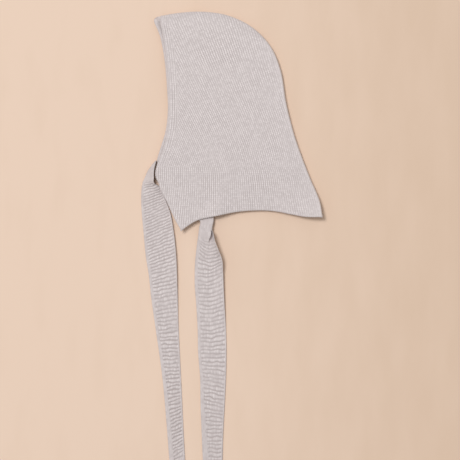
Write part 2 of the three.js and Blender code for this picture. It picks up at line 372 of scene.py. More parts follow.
def over_fold(points, reach, height, start):
    """Where cloth that was cut flat lies once it is bent over the fold."""
    nearest, along, left = placed_by(fold, points)
    angle = np.interp(left + BEND_EXTRA, bend_lengths, turns)
    foot = fold[nearest] + along[:, None] * fold_along[nearest]
    inward = start + reach * (1 - np.cos(angle))
    plan = np.where(
        (left < BEND_REACH)[:, None], foot + inward[:, None] * fold_in[nearest], points
    )
    rise = MIDDLE + np.maximum(height * np.sin(angle), MEETING_GAP / 2)
    return np.column_stack([plan, rise])


def past_fold(line):
    """A border that ends at the fold, run on over the bend to the meeting line."""
    nearest, along, _ = placed_by(fold, line[-1:])
    outward = -fold_in[nearest[0]]
    foot = fold[nearest[0]] + along[0] * fold_along[nearest[0]]
    return np.vstack([line, foot + outward * BEND_EXTRA])


def meeting_line(start, end):
    """The border along the fold, as it was cut, between the ends of two borders that reach it."""
    nearest, _, _ = placed_by(fold, np.array([start, end]))
    stretch = slice(nearest[0] + 2, nearest[1] - 1)
    return np.vstack([start, fold[stretch] - fold_in[stretch] * BEND_EXTRA, end])


def crossings(grain, outline):
    """Where the mesh lines of a knit cross: so many to a rib and to a course, over an outline."""
    low, high = outline.min(0), outline.max(0)
    centre = (low + high) / 2
    slopes = grain(centre + np.eye(2)) - grain(centre[None])
    corners = np.array([(x, y) for x in (low[0], high[0]) for y in (low[1], high[1])])
    counts = grain(corners)
    firsts = np.floor((counts.min(0) - 2) * MESH_LINES)
    lasts = np.ceil((counts.max(0) + 2) * MESH_LINES)
    across, up = np.meshgrid(np.arange(firsts[0], lasts[0]), np.arange(firsts[1], lasts[1]))
    wanted = np.stack([across.ravel(), up.ravel()], 1) / MESH_LINES
    points = np.tile(centre, (len(wanted), 1))
    for _ in range(CROSSING_ROUNDS):
        points = points + np.linalg.solve(slopes.T, (wanted - grain(points)).T).T
    return points[inside(outline, points)]


def clear_of(points, borders, clearance):
    """The points that lie further than that from every border."""
    for border in borders:
        points = points[distance_from(border, points) > clearance]
    return points


def inside(outline, points):
    """Which points lie inside a closed outline."""
    x, y = points.T
    odd = np.zeros(len(points), bool)
    for (ax, ay), (bx, by) in zip(outline, np.roll(outline, -1, 0)):
        if ay != by:
            crossing = ax + (y - ay) * (bx - ax) / (by - ay)
            odd ^= ((ay > y) != (by > y)) & (x < crossing)
    return odd


def triangulated(outline, points):
    """The outline and then the points inside it, joined up in triangles."""
    count = len(outline)
    edges = [(index, (index + 1) % count) for index in range(count)]
    plan = np.vstack([outline, points[inside(outline, points)]])
    # The triangulation reads single precision, so the points are rounded to it first
    plan = plan.astype(np.float32).astype(float)
    _, _, faces, *_ = delaunay_2d_cdt([tuple(p) for p in plan], edges, [], 0, TINY, False)
    faces = np.array(faces)
    on_edge = (faces < count).all(1)
    within = np.ones(len(faces), bool)
    within[on_edge] = inside(plan[:count], plan[faces[on_edge]].mean(1))
    return plan, [tuple(face) for face in faces[within].tolist()]


def front_edge(side):
    """The front edge of one side, from the hem's front corner up to the fold."""
    rows = FRONT_EDGES[side]
    forehead = point_at(fold[::-1], 0, rows[-1][0])
    return smooth_line([*rows[:-1], forehead])


def eased(share):
    """A smooth step from 0 to 1."""
    share = np.clip(share, 0, 1)
    return share * share * (3 - 2 * share)


def keep_edges_crisp(mesh, first_rim_face):
    """Marks the edges of the rim, so that it isn't shaded as one with the faces beside it."""
    rim_edges = set()
    for face in mesh.polygons[first_rim_face:]:
        rim_edges.update(face.edge_keys)
    for edge in mesh.edges:
        edge.use_edge_sharp = edge.key in rim_edges


def lift(points, side):
    """How far the cloth rises: at the hem, in the lower front edge's curl, and in soft billows."""
    raised = np.zeros(len(points))
    for corner, height, reach in LIFTS[side]:
        away = np.linalg.norm(points - corner, axis=1)
        raised += height * np.exp(-((away / reach) ** 2))
    _, _, inward = placed_by(front_edge(side)[::-1], points)
    _, _, below_fold = placed_by(fold, points)
    if side == "lower":
        curl = 1 - eased((inward - CURL_FLAT) / CURL_REACH)
        curl *= eased(below_fold / CURL_REACH) * eased((points[:, 1] - CURL_FOOT) / CURL_REACH)
        raised += CURL_HEIGHT * curl
    else:
        billow = BILLOW_HEIGHT * (0.5 + 0.5 * drift(points, BILLOW_SIZE))
        raised += billow * eased(below_fold / BILLOW_EASE)
    return raised


def drift(points, size):
    """Smooth random values between about -1 and 1, which change over that distance."""
    return np.array([noise.noise((x / size, y / size, 0)) for x, y in points])


def outward_from(corners, faces):
    """Unit vectors that stand on a surface at its corners."""
    normals = np.zeros_like(corners)
    faces = np.array(faces)
    across = corners[faces[:, 1]] - corners[faces[:, 0]]
    along = corners[faces[:, 2]] - corners[faces[:, 0]]
    for column in range(faces.shape[1]):
        np.add.at(normals, faces[:, column], np.cross(across, along))
    return normals / np.maximum(np.linalg.norm(normals, axis=1, keepdims=True), TINY)


def store(mesh, name, values):
    """Keeps a number or a vector for each corner of a mesh, under a name that node trees read."""
    kind, field = ("FLOAT", "value") if values.ndim == 1 else ("FLOAT_VECTOR", "vector")
    attribute = mesh.attributes.new(name, kind, "POINT")
    attribute.data.foreach_set(field, values.astype(np.float32).ravel())


def painted_shading_share(points):
    """Painted shade: most at the crown, some at the neck; below 0 at the back, a painted highlight.
    """
    nearest, _, inward = placed_by(fold, points)
    outward_x, outward_y = np.maximum(-fold_in[nearest], 0).T
    inward = np.maximum(inward, 0)
    crown = outward_y ** FOLD_TURN * np.exp(-((inward / CROWN_REACH) ** FOLD_FALL))
    back = outward_x ** FOLD_TURN * np.exp(-((inward / BACK_REACH) ** FOLD_FALL))
    neck = NECK_SHADE * eased((NECK_LINE - points[:, 1]) / NECK_EASE + 0.5)
    return crown - back + neck * (1 - back)


def knit_panel(name, side, borders, grain):
    """A panel of knit with an outer face, an inner face and a rim, as a mesh in metres.

    Borders go anticlockwise round the cut cloth, each with its kind: fold, seam or free."""
    lines = [spaced(line, OUTLINE_STEP) for line, kind in borders]
    outline = np.vstack([line[:-1] for line in lines])
    edges = [spaced(line, LINE_STEP) for line, kind in borders if kind != "fold"]
    fold_edges = [spaced(line, LINE_STEP) for line, kind in borders if kind == "fold"]
    rings = []
    for number, edge in enumerate(edges):
        _, inward = beside(edge)
        others = edges[:number] + edges[number + 1:]
        for depth in EDGE_RINGS:
            ring = spaced(edge + inward * depth, OUTLINE_STEP)[1:-1]
            ring = clear_of(ring, others, depth + RING_GAP)
            rings.append(clear_of(ring, fold_edges, EDGE_CLEARANCE))
    middle = clear_of(crossings(grain, outline), edges, EDGE_ROUND + EDGE_CLEARANCE)
    middle = clear_of(middle, fold_edges, EDGE_CLEARANCE)
    outer_plan, outer_faces = triangulated(outline, np.vstack([*rings, middle]))

    low, high = outline.min(0), outline.max(0)
    across, up = np.meshgrid(
        np.arange(low[0], high[0], INNER_STEP), np.arange(low[1], high[1], INNER_STEP)
    )
    coarse = np.stack([across.ravel(), up.ravel()], 1)
    coarse = clear_of(coarse, edges + fold_edges, INNER_STEP / 2)
    inner_plan, inner_faces = triangulated(outline, np.vstack([*rings, coarse]))

    def walls_over(plan):
        """The outer and the inner face over points of the cut cloth, where nothing is rounded."""
        outer = over_fold(plan, BEND_REACH, MIDDLE, 0.0)
        inner = over_fold(plan, BEND_REACH - WALL, HOLLOW / 2, WALL)
        if side == "lower":
            outer[:, 2] = HEIGHT - outer[:, 2]
            inner[:, 2] = HEIGHT - inner[:, 2]
            bent = eased((outer[:, 0] - BROW) / BROW_EASE)
            outer[:, 2] *= bent
            inner[:, 2] = outer[:, 2] + np.minimum(inner[:, 2] - outer[:, 2], WALL)
        raised = lift(outer[:, :2], side)
        outer[:, 2] += raised
        inner[:, 2] += raised
        return outer, inner

    def faces_over(plan):
        """Both faces with the free edges rounded, and how much of the relief they bear."""
        outer, inner = walls_over(plan)
        openness = np.ones(len(plan))
        from_fold = distance_from(fold, plan)
        relief = 1 - FLATTENED * np.exp(-((from_fold / FLATTENED_REACH) ** 2))
        for line, kind in borders:
            if kind == "fold":
                continue
            depth = distance_from(spaced(line, LINE_STEP), plan)
            if kind == "seam":
                seam_relief = SEAM_RELIEF + (1 - SEAM_RELIEF) * eased(depth / SEAM_EASE)
                relief = relief * seam_relief
                continue
            share = np.clip(depth / EDGE_ROUND, 0, 1)
            rounding = np.sqrt(1 - (1 - share) ** 2)
            relief = relief * np.clip(depth / (2 * EDGE_ROUND), 0, 1)
            openness = np.minimum(openness, np.maximum(rounding, LEAST_OPEN))
        centre = (outer + inner) / 2
        outer = centre + (outer - centre) * openness[:, None]
        inner = centre + (inner - centre) * openness[:, None]
        return outer, inner, relief

    outer, _, relief = faces_over(outer_plan)
    _, inner, _ = faces_over(inner_plan)
    corners = np.vstack([outer, inner])
    shift = len(outer)
    count = len(outline)
    faces = list(outer_faces)
    faces += [(c + shift, b + shift, a + shift) for a, b, c in inner_faces]
    for here in range(count):
        there = (here + 1) % count
        faces.append((here, here + shift, there + shift, there))
    if side == "lower":
        faces = [face[::-1] for face in faces]

    mesh = bpy.data.meshes.new(name)
    mesh.from_pydata((corners * MM).tolist(), [], faces)
    mesh.shade_smooth()
    keep_edges_crisp(mesh, len(outer_faces) + len(inner_faces))
    knit = np.vstack([grain(outer_plan), grain(inner_plan)])
    knit[:len(outer), 0] += WANDER * drift(outer_plan, WANDER_SIZE)
    knit = np.column_stack([knit, np.concatenate([relief, np.zeros(len(inner))])])
    store(mesh, "knit", knit)
    outward = outward_from(outer, outer_faces) * (1 if side == "upper" else -1)
    store(mesh, "outward", np.vstack([outward, np.zeros_like(inner)]))
    # Painted shade and painted highlight on the outer face, none on the inner face
    painted_shading = np.concatenate([painted_shading_share(outer_plan), np.zeros(len(inner))])
    store(mesh, "painted_shading", painted_shading)
    chains = []
    for line, kind in borders:
        if kind == "free":
            above, below = walls_over(spaced(line, OUTLINE_STEP))
            chains.append((above + below) / 2)
    return mesh, chains


# Stitches stand on the cloth as relief: a rounded rib, cut across at each course in a shallow V
def knit_heights(tree, knit, stitch_share):
    """How high the knit stands, from 0 in a groove to 1 on a rib, and how much it shows there."""
    parts = add_node(tree, "ShaderNodeSeparateXYZ", {"Vector": knit})
    up_rib = maths(tree, "MULTIPLY", maths(tree, "PINGPONG", parts["X"], 0.5), math.pi)
    rib = maths(tree, "POWER", maths(tree, "SINE", up_rib), RIB_ROUND)
    lag = maths(tree, "MULTIPLY_ADD", maths(tree, "PINGPONG", parts["X"], 0.5), -1.0, parts["Y"])
    wave = maths(tree, "COSINE", maths(tree, "MULTIPLY", lag, 2 * math.pi))
    dip = maths(tree, "MULTIPLY", maths(tree, "MULTIPLY_ADD", wave, -0.5, 0.5), stitch_share)
    height = maths(tree, "MULTIPLY", rib, maths(tree, "SUBTRACT", 1.0, dip))
    return height, parts["Z"]


def new_group(name, kind, inputs, outputs):
    """A node group with named sockets, and what its input node gives out."""
    tree = bpy.data.node_groups.new(name, kind)
    for direction, sockets in (("INPUT", inputs), ("OUTPUT", outputs)):
        for socket, socket_kind in sockets.items():
            socket_type = f"NodeSocket{socket_kind}"
            tree.interface.new_socket(socket, in_out=direction, socket_type=socket_type)
    return tree, add_node(tree, "NodeGroupInput")


relief_tree, given = new_group(
    "knit relief",
    "GeometryNodeTree",
    {
        "Cloth": "Geometry", "Depth": "Float", "Stitch Share": "Float", "Edges": "Object",
        "Yarn": "Material",
    },
    {"Cloth": "Geometry"},
)
knit_place = add_node(
    relief_tree, "GeometryNodeInputNamedAttribute", {"Name": "knit"}, data_type="FLOAT_VECTOR"
)[0]
stitch_height, relief_mask = knit_heights(relief_tree, knit_place, given["Stitch Share"])
sunk = maths(relief_tree, "SUBTRACT", stitch_height, 1.0)
sunk = maths(relief_tree, "MULTIPLY", sunk, relief_mask)
sunk = maths(relief_tree, "MULTIPLY", sunk, given["Depth"])
outward = add_node(
    relief_tree, "GeometryNodeInputNamedAttribute", {"Name": "outward"}, data_type="FLOAT_VECTOR"
)[0]
offset = add_node(
    relief_tree, "ShaderNodeVectorMath", {0: outward, "Scale": sunk}, operation="SCALE"
)
raised = add_node(
    relief_tree, "GeometryNodeSetPosition", {"Geometry": given["Cloth"], "Offset": offset[0]}
)

# Free edges are cast off in a chain of stitches, each a short loop of yarn along the edge
edge_line = add_node(relief_tree, "GeometryNodeObjectInfo", {"Object": given["Edges"]})["Geometry"]
edge_curve = add_node(relief_tree, "GeometryNodeMeshToCurve", {"Mesh": edge_line})[0]
edge_places = add_node(
    relief_tree,
    "GeometryNodeResampleCurve",
    {"Curve": edge_curve, "Length": CHAIN_PITCH * MM},
    mode="LENGTH",
)[0]
loop = add_node(
    relief_tree,
    "GeometryNodeMeshUVSphere",
    {"Segments": LOOP_SEGMENTS, "Rings": LOOP_RINGS, "Radius": LOOP_LENGTH / 2 * MM},
)["Mesh"]
loop = add_node(
    relief_tree, "GeometryNodeTransform", {"Geometry": loop, "Scale": LOOP_SHAPE}
)[0]
loop = add_node(relief_tree, "GeometryNodeSetShadeSmooth", {"Geometry": loop})[0]
edge_turn = add_node(
    relief_tree,
    "FunctionNodeAlignEulerToVector",
    {"Vector": add_node(relief_tree, "GeometryNodeInputTangent")[0]},
    axis="X",
    pivot_axis="Z",
)[0]
loop_turn = add_node(
    relief_tree,
    "FunctionNodeRotateEuler",
    {"Rotation": edge_turn, "Rotate By": (0, LOOP_TILT, LOOP_SLANT)},
    space="LOCAL",
)[0]
chain = add_node(
    relief_tree,
    "GeometryNodeInstanceOnPoints",
    {"Points": edge_places, "Instance": loop, "Rotation": loop_turn},
)[0]
together = relief_tree.nodes.new("GeometryNodeJoinGeometry")
relief_tree.links.new(chain, together.inputs[0])
relief_tree.links.new(raised[0], together.inputs[0])
whole = add_node(relief_tree, "GeometryNodeRealizeInstances", {"Geometry": together.outputs[0]})
dyed = add_node(
    relief_tree, "GeometryNodeSetMaterial", {"Geometry": whole[0], "Material": given["Yarn"]}
)
add_node(relief_tree, "NodeGroupOutput", {"Cloth": dyed[0]})


def joined_lines(lines):
    """Several lines as the edges of one mesh in metres."""
    corners, steps = [], []
    for line in lines:
        steps += [(len(corners) + step, len(corners) + step + 1) for step in range(len(line) - 1)]
        corners += (line * MM).tolist()
    mesh = bpy.data.meshes.new("edge lines")
    mesh.from_pydata(corners, steps, [])
    return mesh


def finished_cloth(name, mesh, tree, values, edge_lines=()):
    """The piece that a node tree makes of a mesh, as a plain object with no modifier."""
    base = bpy.data.objects.new(name + "_base", mesh)
    scene.collection.objects.link(base)
    edges = bpy.data.objects.new(name + "_edges", joined_lines(edge_lines))
    scene.collection.objects.link(edges)
    values = {**values, "Edges": edges}
    modifier = base.modifiers.new("stitches", "NODES")
    modifier.node_group = tree
    for item in tree.interface.items_tree:
        if item.item_type == "SOCKET" and item.in_out == "INPUT" and item.name in values:
            modifier[item.identifier] = values[item.name]
    graph = bpy.context.evaluated_depsgraph_get()
    made = bpy.data.meshes.new_from_object(base.evaluated_get(graph))
    made.name = name
    bpy.data.objects.remove(base)
    bpy.data.objects.remove(edges)
    piece = bpy.data.objects.new(name, made)
    scene.collection.objects.link(piece)
    return piece


HOOD_CREST = (0.85, 0.784, 0.779, 1)
# Painted shade: the colour the knit takes between its ribs and in the dips between stitches
HOOD_GROOVE_SHADE = (0.47, 0.412, 0.403, 1)
HOOD_DARKER = (0.70, 0.64, 0.635, 1)
STITCH_DIP_SHADE = 0.4
MOTTLE_SCALE = 260.0
PATCH_SCALE = 45.0
PATCH_CONTRAST = 3.0
PATCH_LEAST = 0.2
EVEN_GROOVE_SHADE = 0.42
PAINTED_SHADE_SHARE = 0.2
PAINTED_HIGHLIGHT_SHARE = 0.55
STITCH_BUMP = 0.35 * MM
STITCH_BUMP_STRENGTH = 0.6
YARN_ROUGHNESS = 0.95
YARN_SHEEN = 0.3

# The look that both knits share: painted shade between the ribs and in the stitches' dips, every
# stitch of a slightly different tone, with softer and crisper patches
look_tree, yarn_and_shade = new_group(
    "knit look",
    "ShaderNodeTree",
    {"Crest": "Color", "Groove Shade": "Color", "Darker": "Color"},
    {"Colour": "Color", "Height": "Float"},
)
look_knit = add_node(look_tree, "ShaderNodeAttribute", attribute_name="knit")["Vector"]
look_height, look_mask = knit_heights(look_tree, look_knit, STITCH_DIP_SHADE)
look_place = add_node(look_tree, "ShaderNodeTexCoord")["Object"]
mottle = add_node(
    look_tree, "ShaderNodeTexNoise", {"Vector": look_place, "Scale": MOTTLE_SCALE, "Detail": 3.0}
)["Fac"]
patch = add_node(
    look_tree, "ShaderNodeTexNoise", {"Vector": look_place, "Scale": PATCH_SCALE, "Detail": 2.0}
)["Fac"]
stitch_number = add_node(look_tree, "ShaderNodeVectorMath", {0: look_knit}, operation="FLOOR")[0]
stitch_tone = add_node(
    look_tree, "ShaderNodeTexWhiteNoise", {"Vector": stitch_number}, noise_dimensions="2D"
)["Value"]
tone = maths(look_tree, "SUBTRACT", maths(look_tree, "ADD", stitch_tone, mottle), 0.5)
patch = maths(look_tree, "SUBTRACT", patch, 0.5)
patch = maths(look_tree, "MULTIPLY_ADD", patch, PATCH_CONTRAST, 1.0)
contrast = maths(look_tree, "MULTIPLY", look_mask, maths(look_tree, "MAXIMUM", patch, PATCH_LEAST))
# Painted shade: the colour is mixed towards the groove colour as far as the relief is sunk there
away = maths(look_tree, "SUBTRACT", maths(look_tree, "SUBTRACT", 1.0, look_height), EVEN_GROOVE_SHADE)
depth = maths(look_tree, "MULTIPLY_ADD", away, contrast, EVEN_GROOVE_SHADE)
depth = maths(look_tree, "MINIMUM", maths(look_tree, "MAXIMUM", depth, 0.0), 1.0)
rib_colour = mixed(look_tree, tone, yarn_and_shade["Crest"], yarn_and_shade["Darker"])
knit_colour = mixed(look_tree, depth, rib_colour, yarn_and_shade["Groove Shade"])

# Painted shade mixes in the groove colour over the crown and towards the hem and the tie ends, and a
# painted highlight mixes in the crest colour on the bend down the back
shade_or_highlight = add_node(look_tree, "ShaderNodeAttribute", attribute_name="painted_shading")["Fac"]
shade_share = maths(look_tree, "MULTIPLY", maths(look_tree, "MAXIMUM", shade_or_highlight, 0.0), PAINTED_SHADE_SHARE)
highlight_share = maths(
    look_tree, "MULTIPLY", maths(look_tree, "MINIMUM", shade_or_highlight, 0.0), -PAINTED_HIGHLIGHT_SHARE
)
knit_colour = mixed(look_tree, shade_share, knit_colour, yarn_and_shade["Groove Shade"])
knit_colour = mixed(look_tree, highlight_share, knit_colour, yarn_and_shade["Crest"])
look_relief = maths(look_tree, "MULTIPLY", look_height, look_mask)
add_node(look_tree, "NodeGroupOutput", {"Colour": knit_colour, "Height": look_relief})


def cotton_knit(name, crest, groove_shade, darker):
    """Knitted cotton yarn in its own colours, with painted shade between its ribs, soft and matt."""
    material, tree = new_material(name)
    yarn_and_groove_shade = {"Crest": crest, "Groove Shade": groove_shade, "Darker": darker}
    look = add_node(tree, "ShaderNodeGroup", yarn_and_groove_shade, node_tree=look_tree)
    bump_inputs = {
        "Strength": STITCH_BUMP_STRENGTH, "Distance": STITCH_BUMP, "Height": look["Height"]
    }
    bump = add_node(tree, "ShaderNodeBump", bump_inputs)[0]
    finish_material(tree, look["Colour"], bump, YARN_ROUGHNESS, YARN_SHEEN)
    return material


yarn = cotton_knit("cotton knit", HOOD_CREST, HOOD_GROOVE_SHADE, HOOD_DARKER)

lean_rows = np.array(RIB_LEANS[::-1], float)
lean_heights = np.arange(lean_rows[0, 0], lean_rows[-1, 0] + 1)
lean_slopes = np.interp(lean_heights, lean_rows[:, 0], lean_rows[:, 1])
lean_drift = np.concatenate([[0], np.cumsum(np.tan(np.radians(lean_slopes[:-1])))])


def head_grain(points):
    """Which rib and which course of the head a point is on."""
    x, y = points.T
    across = x + np.interp(y, lean_heights, lean_drift) - RIB_FAN * x * (y - RIB_FAN_HEIGHT)
    up = y * math.cos(COURSE_TILT) - x * math.sin(COURSE_TILT)
    return np.stack([across / RIB_PITCH, up / COURSE_PITCH], 1)


def band_seam(side, width):
    """A line that far beside the face edge, up to the fold, as the band's inner edge runs."""
    edge = front_edge(side)
    face = edge[edge[:, 1] > NECK_LINE]
    face = np.vstack([point_at(edge, 1, NECK_LINE), face])
    share = lengths_along(face) / lengths_along(face)[-1]
    rise = point_at(fold[::-1], 0, face[-1, 0] + width)[1] - face[-1, 1]
    return face + np.stack([np.full(len(face), width), rise * share], 1)


def straight(start, end):
    """A straight border between two points."""
    return np.array([start, end], float)


def lay_panel(name, node, side, borders, grain):
    """A finished panel of the hood in its place, which stands for its plain solid."""
    mesh, chains = knit_panel(name, side, borders, grain)
    values = {"Depth": RIB_DEPTH * MM, "Stitch Share": STITCH_SHARE, "Yarn": yarn}
    panel = finished_cloth(f"{name}_{side}", mesh, relief_tree, values, chains)
    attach(panel, "root")
    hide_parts(f"{node}_{side}")


for side in ("upper", "lower"):
    seam = past_fold(band_seam(side, BAND_WIDTH + SEAM_GAP / 2))
    seam[0, 1] += SEAM_GAP / 2
    low_end = point_at(fold, 1, NECK_LINE + SEAM_GAP / 2)
    neck_seam = past_fold(straight(seam[0], low_end))
    meeting = meeting_line(neck_seam[-1], seam[-1])
    borders = [(neck_seam, "seam"), (meeting, "fold"), (seam[::-1], "seam")]
    lay_panel("head_knit", "head_panel", side, borders, head_grain)


def band_grain(side):
    """Ribs that run beside the front edge of one side."""
    edge = front_edge(side)

    def grain(points):
        x, y = points.T
        beside_edge = x - np.interp(y, edge[:, 1], edge[:, 0])
        return np.stack([beside_edge / RIB_PITCH + 0.5, y / COURSE_PITCH], 1)

    return grain


for side in ("upper", "lower"):
    seam = past_fold(band_seam(side, BAND_WIDTH - SEAM_GAP / 2))
    seam[0, 1] += SEAM_GAP / 2
    face_edge = past_fold(band_seam(side, 0))
    face_edge[0, 1] += SEAM_GAP / 2
    borders = [
        (straight(face_edge[0], seam[0]), "seam"),
        (seam, "seam"),
        (meeting_line(seam[-1], face_edge[-1]), "fold"),
        (face_edge[::-1], "free"),
    ]
    grain = band_grain(side)
    lay_panel("face_band_knit", "face_band", side, borders, grain)

# The neck panels, whose ribs hang straight down and spread a little towards the cast-off hem.
# The lower side's hem ends just above the upper one's.
# The points x, y are the upper hem's between its two ends.
HEM = [
    (-50.0, 18.2), (-40.5, 23.3), (-18.7, 28.2), (6.5, 33.3), (34.0, 35.1), (52.0, 34.0),
    (72.5, 30.1), (89.3, 27.2),
]
HEM_RISE = {"upper": 0.0, "lower": 1.5}
NECK_FAN = 0.0018
NECK_MIDDLE = -12
LEAN_END = math.tan(math.radians(15))
LEAN_FADE = 9.0


def neck_grain(points):
    """Which rib and which course of the neck a point is on. Its ribs run on from the head's."""
    x, y = points.T
    below = NECK_LINE - y
    lean = LEAN_END * LEAN_FADE * (1 - np.exp(-np.maximum(below, 0) / LEAN_FADE))
    foot = x - NECK_FAN * (x - NECK_MIDDLE) * below - lean
    ribs = head_grain(np.stack([foot, np.full(len(foot), NECK_LINE)], 1))[:, 0]
    return np.stack([ribs, y / COURSE_PITCH], 1)


for side in ("upper", "lower"):
    rise = HEM_RISE[side]
    edge = front_edge(side)
    front = cut_at(edge, 1, edge[0, 1], NECK_LINE - SEAM_GAP / 2)
    hem_end = point_at(fold, 1, FOLD[-1][1] + rise)
    hem = past_fold(smooth_line([edge[0], *[(x, y + rise) for x, y in HEM], hem_end]))
    neck_end = point_at(fold, 1, NECK_LINE - SEAM_GAP / 2)
    neck_seam = past_fold(straight(front[-1], neck_end))
    borders = [
        (hem, "free"),
        (meeting_line(hem[-1], neck_seam[-1]), "fold"),
        (neck_seam[::-1], "seam"),
        (front[::-1], "free"),
    ]
    lay_panel("neck_knit", "neck_panel", side, borders, neck_grain)

# The ties, long strips of knit with ridges across them and a smooth selvedge down one side. Each
# is sewn to the front of the neck and folded over there, and opens out flat further down. West is
# the left in the photo, and east the right.
TIE_FLATS = {"upper": ((0.035, 0.375), 0.0118), "lower": ((0.037, 0.372), 0.0103)}

# A row is a section across the tie. The crease lies at a share of the width, and step_down is how
# far the top drops just east of it. FLAT, THIN and FOLDED give the columns from crease on.
SECTION_COLUMNS = (
    "west_x", "west_y", "east_x", "east_y", "crease", "west_top", "crease_top", "east_top",
    "west_under", "crease_under", "east_under", "step_down",
)
FLAT = (0.5, WALL, WALL, WALL, 0, 0, 0, 0)
THIN = (0.5, WALL, WALL, 1.3, 0, 0, 0, 0)
FOLDED = (0.9, 6.9, 6.9, 6.9, 2.5, 2.5, 2.5, 0)
TIES = {
    "lower": [
        (-91.4, 94.6, -90.0, 94.4, 0.5, 6.4, 7.6, 9.0, 0, 0, 0, 0),
        (-94.4, 91.3, -91.0, 90.1, 0.5, 5.8, 8.0, 10.6, 0, 0, 0, 0),
        (-97.7, 86.7, -92.4, 84.8, 0.7, 5.2, 10.4, 11.4, 0, 4.5, 8.0, 0),
        (-101.2, 81.4, -93.0, 79.5, 0.75, 4.8, 11.8, 13.4, 0, 6.0, 10.2, 0),
        (-104.4, 74.0, -93.0, 73.8, 0.78, 4.4, 12.6, 15.0, 0, 7.0, 12.0, 0),
        (-106.8, 68.8, -93.3, 69.3, 0.8, 4.0, 11.8, 15.2, 0, 6.4, 12.0, 0),
        (-107.4, 65.6, -92.0, 66.6, 0.76, 3.7, 9.8, 13.4, 0, 4.0, 10.2, 0),
        (-107.9, 62.8, -88.6, 64.9, 0.7, 3.5, 7.6, 8.0, 0, 2.4, 4.8, 0),
        (-108.3, 59.6, -84.8, 62.4, 0.64, 3.3, 6.2, 4.0, 0, 1.4, 0.6, 0),
        (-108.6, 53.6, -81.8, 56.6, 0.56, 3.0, 4.4, 2.8, 0, 0.6, 0, 0),
        (-108.7, 47.5, -80.2, 50.4, 0.5, 2.6, 3.2, 2.8, 0, 0, 0, 0),
        (-108.0, 31.5, -73.8, 33.2, 0.5, 2.2, 2.6, 4.4, 0, 0.4, 2.2, 0),
        (-106.0, 9.9, -69.8, 12.3, 0.55, 2.2, 2.8, 5.4, 0, 0.6, 3.2, 0),
        (-103.2, -20.1, -66.5, -18.9, 0.6, 2.2, 3.0, 6.4, 0, 0.8, 4.2, 0),
        (-99.6, -42.9, -65.4, -44.1, 0.6, 2.2, 2.8, 5.8, 0, 0.6, 3.6, 0),
        (-96.6, -70.5, -64.6, -71.7, 0.6, 2.2, 2.4, 3.4, 0, 0.2, 1.4, 0),
        (-91.0, -110.1, -63.4, -110.1, *THIN),
        (-83.2, -166.5, -60.7, -166.5, *THIN),
        (-77.3, -233.7, -57.5, -233.7, *THIN),
        (-74.3, -273.3, -55.4, -273.3, *FLAT),
    ],
    "upper": [
        (-86.2, 67.5, -84.5, 86.7, *FOLDED),
        (-76.3, 57.9, -69.7, 74.7, *FOLDED),
        (-63.1, 44.1, -52.3, 57.9, *FOLDED),
        (-48.7, 31.5, -34.3, 42.9, *FOLDED),
        (-37.9, 21.3, -21.6, 26.1, 0.9, 7.6, 8.4, 8.4, 3.4, 4.0, 4.0, 0),
        (-38.9, 14.5, -22.8, 15.4, 0.9, 6.8, 9.6, 9.4, 2.4, 5.6, 5.4, 0),
        (-39.4, 10.9, -23.2, 11.2, 0.9, 6.2, 9.8, 9.4, 2.0, 6.0, 5.4, 0),
        (-39.7, 8.2, -22.0, 8.2, 0.87, 5.6, 10.4, 14.4, 1.8, 6.2, 12.2, 9.2),
        (-40.1, 5.1, -21.4, 5.1, 0.81, 5.0, 10.4, 16.6, 1.6, 5.0, 14.4, 9.4),
        (-40.7, 0.6, -20.4, 0.6, 0.69, 4.4, 9.0, 17.8, 1.2, 3.8, 15.6, 6.6),
        (-41.3, -3.3, -19.2, -3.3, 0.64, 3.7, 7.6, 18.2, 0.8, 3.2, 16.0, 1.6),
        (-42.4, -12.9, -15.5, -12.9, 0.58, 2.6, 5.4, 17.8, 0.2, 2.6, 15.4, 0),
        (-43.7, -24.9, -11.2, -24.9, 0.55, 2.2, 3.8, 14.4, 0, 1.4, 12.2, 0),
        (-44.4, -39.3, -10.1, -39.3, 0.5, 2.2, 3.0, 8.8, 0, 0.8, 6.6, 0),
        (-44.3, -56.1, -9.5, -56.1, 0.5, 2.2, 2.8, 7.4, 0, 0.6, 5.2, 0),
        (-42.7, -76.5, -8.5, -76.5, 0.5, 2.2, 2.6, 6.0, 0, 0.4, 3.8, 0),
        (-40.8, -108.9, -6.6, -108.9, *FLAT),
        (-40.3, -135.3, -6.1, -135.3, *FLAT),
        (-37.9, -166.5, -6.7, -166.5, *FLAT),
        (-37.3, -200.1, -8.3, -200.1, *FLAT),
        (-36.0, -233.7, -10.0, -233.7, *FLAT),
        (-34.4, -273.3, -11.0, -273.3, *FLAT),
    ],
}

